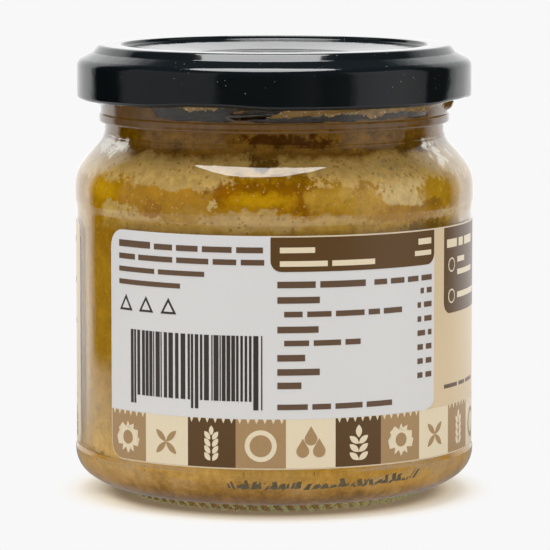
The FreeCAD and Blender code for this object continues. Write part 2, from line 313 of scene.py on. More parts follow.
def flint_glass():
    """Clear glass, green at the foot, where the tips of the teeth are frosted by the mould. The frost is
    paler along each tooth's crest, partly a painted highlight on the teeth.
    """
    material, web = new_finish("flint glass")
    x, y, z = web.split(web.place())
    height = z / MM
    colour = web.mix(web.step(height, 0.8, 2.6), (0.85, 0.91, 0.78, 1), (0.975, 0.985, 0.965, 1))
    colour = web.mix(web.step(height, *AIR_BEHIND), colour, (0.935, 0.87, 0.8, 1))
    ripple = web.node("ShaderNodeBump", {}, {"Strength": 0.05, "Distance": MM, "Height": web.noise(7)})
    clear = web.node("ShaderNodeBsdfPrincipled", {}, {
        "Base Color": colour, "Roughness": 0.0, "IOR": 1.5, "Transmission Weight": 1.0,
        "Normal": ripple})
    through = web.node("ShaderNodeBsdfTransparent", {}, {"Color": (0.95, 0.955, 0.94, 1)})
    shadow = web.node("ShaderNodeLightPath", output="Is Shadow Ray")
    bounced = web.node("ShaderNodeLightPath", output="Is Diffuse Ray")
    passes = shadow.sum("MAXIMUM", shadow, bounced)
    clear = web.node("ShaderNodeMixShader", {}, {0: passes, 1: clear, 2: through})
    # Pale green frost for the foot: partly real frost, partly a painted highlight where it lies on the
    # crests of the teeth.
    frost = web.node("ShaderNodeBsdfDiffuse", {}, {"Color": tint(196, 208, 164)})
    lean = x.sum("ARCTAN2", x, y * -1.0) * TEETH + height * math.radians(TOOTH_LEAN * TEETH)
    tooth = web.step(height.sum("COSINE", lean), -0.3, 0.6)
    # Frost share, stronger on the crest of each tooth: partly real frost, partly a painted highlight
    # along the teeth.
    frost_and_highlight = web.step(height, 1.5, 1.0) * (0.06 + 0.55 * tooth * web.step(web.noise(0.5, 2), 0.3, 0.5))
    web.finish(web.node("ShaderNodeMixShader", {}, {0: frost_and_highlight, 1: clear, 2: frost}))
    return material


glass = new_piece("jar_glass", turned("jar_glass", glass_line, 6 * TEETH, press_glass), flint_glass())
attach(glass, "root")
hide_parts("glass_jar")

# ---- The spread --------------------------------------------------------------------------------
# Mushroom paste: tan foam full of specks, marbled with golden oil where it was filled last.  It
# lies against the glass up to the neck, and its skin reaches just into the wall.

INTO_WALL = 0.1  # so that no gap shows between glass and spread
FILL = RIM - 11.15
FILL_DIP, FILL_BANK, FILL_MOUND = 0.9, 3.0, 1.6


def wave_spread(radius, height, angle):
    """The top of the filling is never quite flat."""
    turn = np.radians(angle)
    waves = np.sin(radius * 0.55 + 3 * turn) * np.cos(2 * turn - radius * 0.3) * 0.25
    on_top = ease(height, FILL - 1.6, FILL - 0.9) * ease(-radius, -BORE + 0.5, -BORE + 4)
    return radius, height + waves * on_top


spread_line = rounded([
    (0, HOLLOW[0][1] - INTO_WALL, 0),
    (HOLLOW[1][0] + INTO_WALL, HOLLOW[1][1] - INTO_WALL, 5.0 + INTO_WALL),
    (HOLLOW[2][0] + INTO_WALL, HOLLOW[2][1] + INTO_WALL / 2, 6.0 + INTO_WALL),
    (HOLLOW[3][0] + INTO_WALL, HOLLOW[3][1] + INTO_WALL / 2, 6.0 - INTO_WALL),
    (BORE + INTO_WALL, FILL, 0),
    (BORE - FILL_BANK, FILL - FILL_DIP, 2.0),
    (0, FILL - FILL_DIP + FILL_MOUND, 0),
], steps=10)
spread_line = cut_up(spread_line, 1.5, 0, BODY, 0, RIM)


PANEL_ZONE = 42, 46  # below these heights the marbling gives way to even paste
NECK_ZONE = 57.5, 59.5  # above these the paste is darker and coarser
ZONES = (  # height, colour
    (2.0, (84, 58, 10)), (4.4, (148, 108, 36)), (6.5, (204, 160, 82)), (8.6, (208, 168, 92)),
    (16.0, (178, 142, 72)), (21.0, (172, 130, 46)), (23.0, (168, 127, 34)), (40.0, (168, 126, 30)),
    (45.4, (154, 112, 24)), (46.2, (166, 128, 46)), (47.6, (182, 143, 62)), (49.2, (190, 156, 92)),
    (49.9, (162, 118, 20)), (53.5, (152, 108, 4)), (54.0, (194, 159, 92)), (57.2, (190, 154, 86)),
    (58.6, (116, 80, 24)), (61.0, (128, 92, 30)), (64.5, (104, 72, 22)),
)
PATCHES = (  # azimuth, height, half width in degrees, half height, softness, colour
    (-43, 52.0, 29, 2.0, 0.5, (164, 118, 10)), (-66, 48.6, 6, 4.0, 0.5, (164, 120, 10)),
    (-62, 52.4, 10, 1.8, 0.7, (188, 142, 18)), (-32, 53.9, 13, 0.9, 0.3, (180, 147, 82)),
    (1, 54.8, 14, 0.8, 0.3, (150, 106, 6)), (-52, 49.9, 8, 1.3, 0.2, (190, 158, 88)),
    (-37, 50.4, 4, 1.1, 0.5, (150, 102, 10)), (-25, 49.2, 9, 1.2, 0.3, (168, 128, 40)),
    (2, 52.4, 20, 2.2, 0.3, (134, 86, 0)), (-3, 51.7, 9, 1.3, 0.9, (182, 136, 10)),
    (-14, 52.9, 4, 1.1, 0.5, (142, 90, 0)), (-17.5, 51.5, 1.8, 1.1, 0.2, (192, 164, 104)),
    (17, 52.0, 6, 1.8, 0.8, (180, 138, 46)), (21, 52.4, 4, 1.4, 0.3, (182, 146, 66)),
    (29, 51.3, 8, 1.9, 0.5, (178, 138, 48)), (43, 52.5, 12, 1.9, 0.2, (200, 172, 114)),
    (61, 52.2, 12, 2.1, 0.4, (172, 130, 26)), (53, 50.0, 6, 1.0, 0.5, (140, 102, 26)),
    (42, 49.2, 14, 1.3, 0.6, (162, 118, 26)), (50, 47.2, 9, 1.0, 0.7, (134, 100, 34)),
    (-60, 61.6, 9, 1.2, 0.5, (116, 82, 8)), (54, 60.4, 11, 2.2, 0.5, (106, 74, 12)),
    (4, 61.2, 18, 1.1, 0.6, (72, 40, 0)), (-4, 57.3, 5, 1.2, 0.4, (102, 72, 24)),
    (-4, 48.5, 17, 1.5, 0.6, (188, 154, 94)),
    (40, 7.5, 30, 2.6, 0.8, (206, 158, 66)), (-66, 7.8, 12, 0.5, 0.2, (158, 118, 24)),
    (90, 52.4, 13, 1.8, 0.4, (158, 112, 6)),
    (118, 50.6, 16, 2.4, 0.3, (190, 160, 100)), (150, 52.6, 14, 1.4, 0.6, (174, 130, 10)),
    (182, 51.0, 10, 2.2, 0.3, (190, 160, 104)), (214, 52.2, 16, 2.0, 0.5, (156, 108, 6)),
    (246, 50.4, 12, 1.6, 0.3, (184, 152, 94)), (272, 52.6, 12, 1.3, 0.6, (166, 122, 12)),
)
AIR = (  # azimuth, height, half width in degrees, half height of what lies off the glass
    (-72, 58.6, 12, 1.6), (65, 57.6, 4, 2.8), (74, 56.4, 5, 1.2), (120, 58, 9, 1.5),
    (200, 57.4, 14, 1.4), (262, 55, 8, 2),
)


def round_from(web, turn, at):
    """Degrees round the jar from an azimuth, which for the back run past 180."""
    off = turn - at
    return off.sum("WRAP", off, 180.0, -180.0) if at >= 90 else off


def mushroom_paste():
    """Marbled paste.  Where air got behind the glass, the glass is a mirror from inside."""
    material, web = new_finish("mushroom paste")
    place = web.place()
    x, y, z = web.split(place)
    stirred = {"Scale": 1 / (5.5 * MM), "Detail": 6.0, "Roughness": 0.66, "Vector": place}
    stir_round, stir_up = web.split(web.node("ShaderNodeTexNoise", {}, stirred, output="Color"))[:2]
    froth = web.noise(1.3, 4, place, 0.66)
    grain = web.noise(0.5, 3, place, 0.65)
    height = z / MM + (stir_up - 0.5) * 5.0 + (froth - 0.5) * 2.0
    turn = x.sum("ARCTAN2", x, y * -1.0) * (180 / math.pi) + (stir_round - 0.5) * 22
    stops = [(at / 70, tint(*colour)) for at, colour in ZONES]
    colour = web.node("ShaderNodeValToRGB", {"stops": stops}, {"Fac": height / 70})
    for at, middle, wide, tall, soft, dye in PATCHES:
        apart = (round_from(web, turn, at) / wide) ** 2 + ((height - middle) / tall) ** 2
        apart = apart + (froth - 0.5) * 2.4 + (grain - 0.5) * 1.2
        colour = web.mix(web.step(apart, 1 + soft, 1 - soft), colour, tint(*dye))
    foamy = web.step(web.split(colour)[2], 0.015, 0.06)
    lumps = web.noise(2.4, 3, place, 0.6)
    upper, neck = web.step(z / MM, *PANEL_ZONE), web.step(height, *NECK_ZONE)
    shade = 1 + 0.5 * (grain - 0.5) + 0.5 * (froth - 0.5) + (0.6 + 1.2 * neck) * (lumps - 0.5)
    colour = web.node("ShaderNodeVectorMath", {"operation": "SCALE"}, {0: colour, "Scale": shade})
    for size, reach, share, much, dot in (  # apart, radius, how many are left out, strength, colour
            (1.05, 0.32, 0.4, upper * (0.2 + 0.6 * foamy), (138, 100, 38)),
            (1.7, 0.24, 0.7, upper * 0.45, (116, 82, 30)),
            (0.7, 0.36, 0.5, neck * 0.6, (62, 38, 10)),
            (0.8, 0.26, 0.66, (upper - neck) * (1 - foamy) * 0.7, (200, 168, 98))):
        cells = {"Scale": 1 / (size * MM), "Vector": place}
        away = web.node("ShaderNodeTexVoronoi", {}, cells, output="Distance")
        pick = web.split(web.node("ShaderNodeTexVoronoi", {}, cells, output="Color"))[0]
        dots = web.step(away, reach, reach * 0.6) * web.step(pick, share, share + 0.02)
        colour = web.mix(dots * much * 0.75, colour, tint(*dot))
    greyish = web.step(((turn - 38) / 12) ** 2 + ((height - 55.7) / 1.3) ** 2, 1.2, 0.6)
    greyish = greyish * web.step(web.noise(0.7, 3, place, 0.6), 0.5, 0.6)
    colour = web.mix(greyish * 0.45, colour, tint(128, 120, 90))
    bump = web.node("ShaderNodeBump", {}, {"Strength": 0.25, "Distance": 0.2 * MM, "Height": grain})
    paste = web.node("ShaderNodeBsdfPrincipled", {}, {
        "Base Color": colour, "Roughness": 0.5, "Specular IOR Level": 0.0, "Normal": bump})
    mirrored = web.step(web.node("ShaderNodeFresnel", {}, {"IOR": 1 / 1.5}), 0.15, 0.9)
    aslant = web.step(web.node("ShaderNodeLayerWeight", {}, {"Blend": 0.5}, output="Facing"), 0.15, 0.2)
    ragged = (web.noise(3.4, 5, place, 0.7) - 0.5) * 5
    thin = web.step(height, 4.5, 8.0) * web.step(height, 60.4, 60.0) * (1 + 8 * x)
    thin = thin * (0.34 - 0.1 * web.step(height, 46, 50))
    air = thin * mirrored
    for at, middle, wide, tall in AIR:
        apart = (round_from(web, turn, at) / wide) ** 2 + ((height - middle) / tall) ** 2 + ragged
        air = air.sum("MAXIMUM", air, web.step(apart, 1.6, 0.3) * 0.66 * aslant)
    mirror = web.node("ShaderNodeBsdfGlossy", {}, {"Color": (1, 0.95, 0.86, 1), "Roughness": 0.08})
    web.finish(web.node("ShaderNodeMixShader", {}, {0: air, 1: paste, 2: mirror}))
    return material


PASTE = mushroom_paste()
filling = new_piece("spread_filling", turned("spread_filling", spread_line, 256, wave_spread), PASTE)
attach(filling, "root")
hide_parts("spread")


def grown(name, base, tree, given):
    """The mesh that a tree makes of a base mesh, with the tree's inputs given by name."""
    source = bpy.data.objects.new(name, base)
    bpy.context.scene.collection.objects.link(source)
    modifier = source.modifiers.new(name, "NODES")
    modifier.node_group = tree
    for socket in tree.interface.items_tree:
        if socket.in_out == "INPUT" and socket.name in given:
            modifier[socket.identifier] = given[socket.name]
    result = bpy.data.meshes.new_from_object(
        source.evaluated_get(bpy.context.evaluated_depsgraph_get()))
    source.modifiers.remove(modifier)
    bpy.data.objects.remove(source)
    result.name = name
    return result


def new_tree(name, **inputs):
    """A Geometry Nodes tree with these named inputs, its web, and a mark for each input."""
    tree = bpy.data.node_groups.new(name, "GeometryNodeTree")
    tree.interface.new_socket("Geometry", in_out="INPUT", socket_type="NodeSocketGeometry")
    for given, kind in inputs.items():
        tree.interface.new_socket(given, in_out="INPUT", socket_type="NodeSocket" + kind)
    tree.interface.new_socket("Geometry", in_out="OUTPUT", socket_type="NodeSocketGeometry")
    web = Web(tree)
    marks = [web.node("NodeGroupInput", output=given) for given in ("Geometry", *inputs)]
    return tree, web, marks


def scatter_tree():
    """Small flat grains that lie on a surface, each turned and sized by chance."""
    tree, web, marks = new_tree("scattered grains", Seed="Int", Density="Float", Least="Float",
                                Most="Float", Flat="Float", Low="Float", High="Float", Finish="Material")
    surface, seed, density, least, most, flat, low, high, finish = marks
    spread = {"Mesh": surface, "Density": density, "Seed": seed}
    points = web.node("GeometryNodeDistributePointsOnFaces", {}, spread, output="Points")
    turn = web.tree.nodes[-1].outputs["Rotation"]
    height = web.split(web.node("GeometryNodeInputPosition"))[2]
    inside = height.sum("GREATER_THAN", height, low) * height.sum("LESS_THAN", height, high)
    grain = web.node("GeometryNodeMeshIcoSphere", {}, {"Radius": 0.5, "Subdivisions": 1}, output="Mesh")
    size = web.node("FunctionNodeRandomValue", {"data_type": "FLOAT"}, {2: least, 3: most, "Seed": seed},
                    output=1)
    long = web.node("FunctionNodeRandomValue", {"data_type": "FLOAT"}, {2: 0.6, 3: 1.6, "Seed": 7},
                    output=1)
    scale = web.node("ShaderNodeCombineXYZ", {}, {"X": size * long, "Y": size, "Z": size * flat})
    spin = web.node("FunctionNodeRandomValue", {"data_type": "FLOAT"}, {3: 6.283, "Seed": 11}, output=1)
    about = web.node("ShaderNodeCombineXYZ", {}, {"Z": spin})
    turned_round = web.node("FunctionNodeRotateRotation", {"rotation_space": "LOCAL"},
                            {0: Mark(web, turn), 1: about})
    placed = web.node("GeometryNodeInstanceOnPoints", {}, {
        "Points": points, "Selection": inside, "Instance": grain, "Rotation": turned_round,
        "Scale": scale})
    whole = web.node("GeometryNodeRealizeInstances", {}, {"Geometry": placed})
    done = web.node("GeometryNodeSetMaterial", {}, {"Geometry": whole, "Material": finish})
    web.node("NodeGroupOutput", {}, {"Geometry": done})
    return tree


SCATTER = scatter_tree()


def scattered(name, surface, finish, seed, density, least, most, flat, low=0.0, high=90.0):
    """Grains from least to most millimetres long, so many to the square millimetre."""
    mesh = grown(name, surface.data.copy(), SCATTER, {
        "Seed": seed, "Density": density / MM ** 2, "Least": least * MM, "Most": most * MM,
        "Flat": flat, "Low": low * MM, "High": high * MM, "Finish": finish})
    piece = new_piece(name, mesh, finish)
    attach(piece, "root")
    return piece


def plain(name, colour, rough, vary, size=1.0):
    """One colour that varies by a share, in lumps of a size in millimetres."""
    material, web = new_finish(name)
    shade = 1 - vary + 2 * vary * web.noise(size, 2)
    toned = web.node("ShaderNodeVectorMath", {"operation": "SCALE"}, {0: colour[:3], "Scale": shade})
    web.finish(web.node("ShaderNodeBsdfPrincipled", {}, {"Base Color": toned, "Roughness": rough}))
    return material


MUSHROOM_SKIN = plain("mushroom skin", tint(142, 104, 40), 0.6, 0.4)
scattered("mushroom_specks", filling, MUSHROOM_SKIN, 3, 0.08, 0.14, 0.36, 0.22, low=3.0)


def wrap_tree():
    """Bends flat work, drawn to the right and up, round the jar.  Its depth is how far it stands."""
    tree, web, marks = new_tree("wrapped round the jar", Radius="Float", Lean="Float", Level="Float",
                                Finish="Material")
    flat, radius, lean, level, finish = marks
    along, depth, up = web.split(web.node("GeometryNodeInputPosition"))
    turn = along / radius
    reach = radius - depth + lean * (up - level)
    right = reach * turn.sum("SINE", turn)
    back = reach * turn.sum("COSINE", turn) * -1.0
    bent = web.node("ShaderNodeCombineXYZ", {}, {"X": right, "Y": back, "Z": up})
    wrapped = web.node("GeometryNodeSetPosition", {}, {"Geometry": flat, "Position": bent})
    whole = web.node("GeometryNodeRealizeInstances", {}, {"Geometry": wrapped})
    done = web.node("GeometryNodeSetMaterial", {}, {"Geometry": whole, "Material": finish})
    web.node("NodeGroupOutput", {}, {"Geometry": done})
    return tree


WRAP = wrap_tree()
CUT = 1.25  # from one cut across the flat work to the next


def wrapped(name, outlines, bottom, top, finish, slot, radius, lean=0.0, level=0.0):
    """Flat outlines, cut across every so often, given a thickness and bent round the jar."""
    flat = bmesh.new()
    for outline in outlines:
        flat.faces.new([flat.verts.new((x * MM, -bottom * MM, z * MM)) for x, z in outline])
    bmesh.ops.triangulate(flat, faces=flat.faces)
    first = math.ceil(min(v.co.x for v in flat.verts) / MM / CUT)
    last = math.floor(max(v.co.x for v in flat.verts) / MM / CUT)
    for number in range(first, last + 1):
        everything = flat.verts[:] + flat.edges[:] + flat.faces[:]
        bmesh.ops.bisect_plane(flat, geom=everything, plane_co=(number * CUT * MM, 0, 0),
                               plane_no=(1, 0, 0), dist=MM * 1e-4)
    raised = bmesh.ops.extrude_face_region(flat, geom=flat.faces[:])
    moved = [item for item in raised["geom"] if isinstance(item, bmesh.types.BMVert)]
    bmesh.ops.translate(flat, verts=moved, vec=(0, (bottom - top) * MM, 0))
    bmesh.ops.recalc_face_normals(flat, faces=flat.faces)
    mesh = bpy.data.meshes.new(name)
    flat.to_mesh(mesh)
    flat.free()
    mesh = grown(name, mesh, WRAP, {
        "Radius": radius * MM, "Lean": lean, "Level": level * MM, "Finish": finish})
    piece = new_piece(name, mesh, finish, math.radians(30))
    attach(piece, "root")
    return piece


chance = np.random.default_rng(11)
TORN_STEP = 0.35


def torn(left, right, low, high, rough):
    """A strip from one azimuth to another on the bore, with a torn edge where rough isn't 0."""
    along = np.arange(math.radians(left) * BORE, math.radians(right) * BORE, TORN_STEP)
    edges = []
    for level, depth in zip((low, high), rough):
        wander = np.convolve(chance.normal(size=len(along) + 12), np.hanning(13) / 3, "valid")
        edges.append(level + depth * (wander + 0.35 * chance.normal(size=len(along))))
    taper = np.clip(np.minimum(along - along[0], along[-1] - along) / 4, 0.05, 1)
    middle = (edges[0] + edges[1]) / 2 if rough[0] else edges[0]
    lower = middle + (edges[0] - middle) * taper
    upper = np.maximum(middle + (edges[1] - middle) * taper, lower + 0.05)
    return list(zip(along, lower)) + list(zip(along, upper))[::-1]


SMEAR = plain("smeared paste", tint(116, 82, 32), 0.45, 0.55, 1.3)
PALE_SMEAR = plain("pale smeared paste", tint(152, 122, 68), 0.3, 0.7, 1.2)
UNDER_LID = 68.0
smears = (  # name, outlines, how far they stand in from the bore, how far out, finish
    ("paste_smears", [torn(-179, 179, FILL - 1.0, FILL + 0.15, (0, 0.22))], 0.05, 0.15, SMEAR),
    ("paste_smears_low", [
        torn(-112, -40, FILL - 1.2, 67.6, (0, 0.5)),
        torn(58, 95, FILL - 1.2, 65.6, (0, 0.3))], 0.04, 0.13, SMEAR),
    ("paste_smears_high", [
        torn(-3, 108, 65.3, UNDER_LID, (0.45, 0)),
        torn(-50, -6, 66.7, UNDER_LID, (0.45, 0))], 0.03, 0.11, PALE_SMEAR),
    ("paste_smears_back", [torn(96, 262, FILL - 1.1, 67.6, (0, 0.6))], 0.06, 0.12, SMEAR),
)
laid = {name: wrapped(name, outlines, -inside, outside, finish, "vegetable_spread", BORE)
        for name, outlines, inside, outside, finish in smears}
WET_CRUMB = plain("wet crumbs", tint(226, 212, 174), 0.15, 0.4)
scattered("paste_crumbs", laid["paste_smears_high"], WET_CRUMB, 9, 0.9, 0.1, 0.34, 0.4)

# ---- The label ---------------------------------------------------------------------------------
# One strip of coated paper glued round the panel with a gap between its ends.  Its print is laid
# on as thin sheets of ink: plain fields, bars in place of words, and simple kitchen shapes.

paper_low, paper_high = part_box("label")
PAPER = 0.1
FACE = PANEL + PAPER
INK = 0.015
LABEL_LOW, LABEL_HIGH = paper_low.z / MM, paper_high.z / MM
LABEL_START, LABEL_SWEEP, LABEL_CORNER = -53, 336, 3.0
LABEL_LEFT = math.radians(LABEL_START) * FACE
LABEL_RIGHT = LABEL_LEFT + math.radians(LABEL_SWEEP) * FACE
EDGE, TRIM = 0.22, 0.05  # bare paper round the tiles, and round the beige


def block(left, low, right, high, bend=0.0, corners="1111"):
    """A rectangle, with the corners marked 1 rounded: low left, low right, top right, top left."""
    outline = []
    places = ((left, low), (right, low), (right, high), (left, high))
    for number, (x, z) in enumerate(places):
        if not bend or corners[number] == "0":
            outline.append((x, z))
            continue
        cx = x + bend if number in (0, 3) else x - bend
        cz = z + bend if number in (0, 1) else z - bend
        for step in range(7):
            angle = math.radians(180 + 90 * number + 15 * step)
            outline.append((cx + bend * math.cos(angle), cz + bend * math.sin(angle)))
    return outline


def coated(name, colour, grain):
    """Printed or bare coated paper, with the grain of its screen and fibres."""
    material, web = new_finish(name)
    place = web.place()
    fibre = web.noise(0.35, 3, place, 0.7)
    cloud = web.noise(9, 2, place)
    shade = 1 - grain + 2 * grain * fibre * (0.85 + 0.3 * cloud)
    faded = web.node("ShaderNodeVectorMath", {"operation": "SCALE"}, {0: colour[:3], "Scale": shade})
    bump = web.node("ShaderNodeBump", {}, {"Strength": 0.12, "Distance": 0.02 * MM, "Height": fibre})
    paper = web.node("ShaderNodeBsdfPrincipled", {}, {
        "Base Color": faded, "Roughness": 0.32, "Specular IOR Level": 0.5, "Normal": bump})
    web.finish(paper)
    return material


WHITE = coated("white paper", tint(218, 219, 222), 0.02)
BEIGE = coated("beige ink", tint(218, 197, 162), 0.05)
BROWN = coated("brown ink", tint(92, 63, 22), 0.12)
TAN = coated("tan ink", tint(167, 136, 94), 0.1)
CREAM = coated("cream ink", tint(229, 216, 188), 0.04)
BLACK = coated("black ink", tint(52, 44, 40), 0.08)


def printed(name, outlines, level, finish):
    """A sheet of ink, so many coats high."""
    wrapped(name, outlines, PAPER - INK, PAPER + level * INK, finish, "label_paper", PANEL)


label = wrapped("label_paper", [block(LABEL_LEFT, LABEL_LOW, LABEL_RIGHT, LABEL_HIGH, LABEL_CORNER)],
                0.0, PAPER, WHITE, "label_paper", PANEL)
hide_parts("label")

BAND_LOW, BAND_HIGH = LABEL_LOW + EDGE, LABEL_LOW + 8.2
LEFT_INK, RIGHT_INK = LABEL_LEFT + EDGE, LABEL_RIGHT - EDGE
TOP_INK = LABEL_HIGH - EDGE
TABLE_RIGHT = 30.15
fields = [
    block(TABLE_RIGHT, BAND_HIGH + 2.0, LABEL_RIGHT - TRIM, LABEL_HIGH - TRIM, 2.9, "0010"),
    block(LABEL_LEFT + TRIM, LABEL_LOW + TRIM, LABEL_RIGHT - TRIM, BAND_HIGH, 2.9, "1100"),
    block(TABLE_RIGHT, BAND_HIGH, LABEL_RIGHT - TRIM, BAND_HIGH + 2.0),
    block(-0.6, TOP_INK, TABLE_RIGHT, LABEL_HIGH - TRIM),
    [(TABLE_RIGHT, BAND_HIGH)] + [
        (TABLE_RIGHT - 2.0 + 2.0 * math.cos(t), BAND_HIGH + 2.0 - 2.0 * math.sin(t))
        for t in np.linspace(0, math.pi / 2, 8)],
]
printed("print_fields", fields, 1, BEIGE)


WORD_GAP, BAR_SHARE = 0.75, 0.82


def words(left, right, middle, tall, count):
    """A line of bars in place of words, each a share of the line's height."""
    lengths = chance.uniform(0.55, 1.6, count)
    lengths *= (right - left - WORD_GAP * (count - 1)) / lengths.sum()
    starts = left + np.cumsum(lengths + WORD_GAP) - lengths - WORD_GAP
    tall *= BAR_SHARE
    return [block(at, middle - tall / 2, at + long, middle + tall / 2)
            for at, long in zip(starts, lengths)]


def oval(x, z, wide, tall=None, sides=28):
    turns = [2 * math.pi * step / sides for step in range(sides)]
    return [(x + wide * math.cos(t), z + (tall or wide) * math.sin(t)) for t in turns]


PETAL_SIDES = 7


def petal(x, z, turn, long, wide):
    """A leaf that starts at a place and points where the turn says, in degrees from the right."""
    outline = []
    for side, steps in ((1, range(PETAL_SIDES)), (-1, range(PETAL_SIDES, 0, -1))):
        for step in steps:
            along = step / PETAL_SIDES
            across = side * wide / 2 * math.sin(math.pi * along) ** 0.8
            cos, sin = math.cos(math.radians(turn)), math.sin(math.radians(turn))
            outline.append((x + long * along * cos - across * sin, z + long * along * sin + across * cos))
    return outline


def star(x, z, points, outer, inner):
    outline = []
    for number in range(2 * points):
        reach, turn = (inner if number % 2 else outer), math.pi * (0.5 + number / points)
        outline.append((x + reach * math.cos(turn), z + reach * math.sin(turn)))
    return outline


def sun(x, z):
    return [star(x, z, 12, 2.7, 1.75)], [oval(x, z, 1.15)]


def sprig(x, z):
    leaves = [petal(x, z - 2.7 + 1.35 * k, turn, 2.1, 1.0)
              for k in range(3) for turn in (38, 142)]
    return leaves + [petal(x, z + 1.0, 90, 2.1, 1.1)], []


def drops(x, z):
    outlines = []
    for dx, dz, size in ((-1.35, -0.9, 1.05), (1.35, -0.9, 1.05), (0, 1.1, 1.05)):
        round_part = [(x + dx + size * math.cos(t), z + dz + size * math.sin(t))
                      for t in np.linspace(math.radians(150), math.radians(390), 16)]
        outlines.append(round_part + [(x + dx, z + dz + 2.0 * size)])
    return outlines, []


def rings(x, z):
    return [oval(x, z, 2.6)], [oval(x, z, 1.8)]


def crossed(x, z):
    return [petal(x, z, turn, 2.75, 1.0) for turn in (45, 135, 225, 315)], []


def ear(x, z):
    grains = [petal(x + side * 0.2, z - 2.6 + 1.15 * k, 90 - side * 35, 1.65, 0.85)
              for k in range(4) for side in (1, -1)]
    return grains + [petal(x, z + 1.55, 90, 1.6, 0.8)], []


MOTIFS = (sun, sprig, drops, rings, ear, crossed)
TILES = ("tan", "cream", "brown", "tan", "cream", "brown", "tan", "cream")
ON_TILE = {"cream": "tan", "tan": "cream", "brown": "cream"}
INKS = {"cream": CREAM, "tan": TAN, "brown": BROWN}
TILE_COUNT, SCALLOPS = 24, 6
TILE = (RIGHT_INK - LEFT_INK) / TILE_COUNT
layers = {(level, ink): [] for level in (2, 3, 4) for ink in INKS}
for number in range(TILE_COUNT):
    left = LEFT_INK + TILE * number
    ink = TILES[number % len(TILES)]
    bent = {0: "1000", TILE_COUNT - 1: "0100"}.get(number, "0000")
    layers[2, ink].append(block(left, BAND_LOW, left + TILE, BAND_HIGH, 2.6, bent))
    motif, middle = MOTIFS[number * 5 % len(MOTIFS)](left + TILE / 2, (BAND_LOW + BAND_HIGH) / 2 - 0.35)
    layers[3, ON_TILE[ink]] += motif
    layers[4, ink] += middle
    scallops = [left + TILE * (step + 0.5) / SCALLOPS for step in range(SCALLOPS)]
    layers[3, "cream"] += [[(x - 0.3, BAND_HIGH), (x, BAND_HIGH - 0.75), (x + 0.3, BAND_HIGH)]
                           for x in scallops]

HEAD_LOW = LABEL_HIGH - 5.8
layers[2, "brown"] += [
    block(-0.6, HEAD_LOW, TABLE_RIGHT - 0.1, TOP_INK, 1.8, "1100"),
    block(33.0, 32.0, 62.0, TOP_INK, 2.0, "1100"),
    block(68.0, 31.5, 130.0, 43.5, 3.0),
]
layers[3, "cream"] += words(0.9, 6.6, 44.2, 1.1, 1) + words(0.9, 17.0, 42.0, 1.1, 2)
layers[3, "cream"] += words(26.0, 29.2, 44.6, 1.2, 1) + words(25.2, 29.2, 42.7, 1.0, 1)
layers[3, "cream"] += words(33.9, 46.0, 43.6, 1.7, 3) + words(37.8, 41.2, 40.7, 1.1, 1)
layers[3, "cream"] += words(37.8, 46.0, 38.6, 1.1, 1) + words(37.8, 48.0, 34.8, 1.2, 1)
for z in (40.0, 34.8):
    layers[3, "cream"].append(oval(35.6, z, 1.2))
    layers[4, "brown"].append(oval(35.6, z, 0.95))
brown_words = []
for left, right, z, tall, count in (
        (-28.7, -21.6, 44.3, 1.35, 1), (-20.8, -1.8, 44.2, 1.15, 4), (-28.7, -1.6, 42.2, 1.1, 5),
        (-28.7, -11.5, 40.1, 1.0, 2), (-28.7, -15.8, 38.0, 1.0, 1),
        (0.5, 15.3, 38.6, 1.3, 2), (16.9, 29.4, 38.6, 1.1, 4), (0.5, 7.4, 36.1, 1.3, 1),
        (1.6, 22.4, 33.8, 1.1, 5), (0.5, 7.2, 31.3, 1.3, 1), (1.6, 14.4, 29.1, 1.1, 3),
        (0.5, 5.0, 26.7, 1.3, 1), (0.5, 7.4, 24.4, 1.3, 1), (0.5, 4.4, 22.2, 1.3, 1),
        (0.5, 20.4, 18.7, 1.1, 4), (33.2, 47.0, 19.9, 0.8, 3)):
    brown_words += words(left, right, z, tall, count)
for row in range(7):
    brown_words += words(26.6 if row == 0 else 25.9, 29.4, 36.5 - 2.32 * row, 1.1, 2)
for row in range(9):
    brown_words += words(137.0, 160.5 - 3.0 * (row % 3), 43.0 - 2.3 * row, 1.1, 5 - row % 2)
WORD_INK = coated("brown word ink", tint(98, 74, 54), 0.08)
printed("print_words", brown_words, 2, WORD_INK)

layers[2, "cream"].append(oval(99.0, 23.6, 21.0, 5.6, 56))
for side in (1, -1):
    layers[3, "tan"] += [petal(99.0 + side * (2.2 + 3.2 * k), 23.0, 90 - side * (20 + 6 * (k + up)),
                               3.4 if up else -3.0, 1.5) for k in range(5) for up in (0, 1)]
for (level, ink), outlines in layers.items():
    if outlines:
        printed("print_%s_%d" % (ink, level), outlines, level, INKS[ink])

BARS, CODE_LEFT, CODE_WIDE = 30, -25.9, 24.0
CODE_LOW, CODE_HIGH, LONG_BAR_LOW, LONG_BARS = 19.6, 30.3, 18.2, (0, 1, 14, 15, 28, 29)
TRIANGLES, TRIANGLES_UP = (-27.0, -22.5, -18.0), 34.2
thick = chance.choice([0.26, 0.5, 0.74, 1.0], BARS)
gaps = chance.choice([0.2, 0.34, 0.5], BARS)
starts = np.cumsum(thick + gaps) - thick - gaps
shrink = CODE_WIDE / (starts[-1] + thick[-1])
black = []
for number, (start, long) in enumerate(zip(starts * shrink + CODE_LEFT, thick * shrink)):
    black.append(block(start, LONG_BAR_LOW if number in LONG_BARS else CODE_LOW, start + long, CODE_HIGH))
black += [star(x, TRIANGLES_UP, 3, 1.75, 0.876) for x in TRIANGLES]
printed("print_black", black, 2, BLACK)
printed("print_white", [star(x, TRIANGLES_UP, 3, 1.0, 0.51) for x in TRIANGLES], 3, WHITE)

# ---- The marks on the heel ---------------------------------------------------------------------
# The filling line sprays a few grey strokes of ink on the glass below the label.

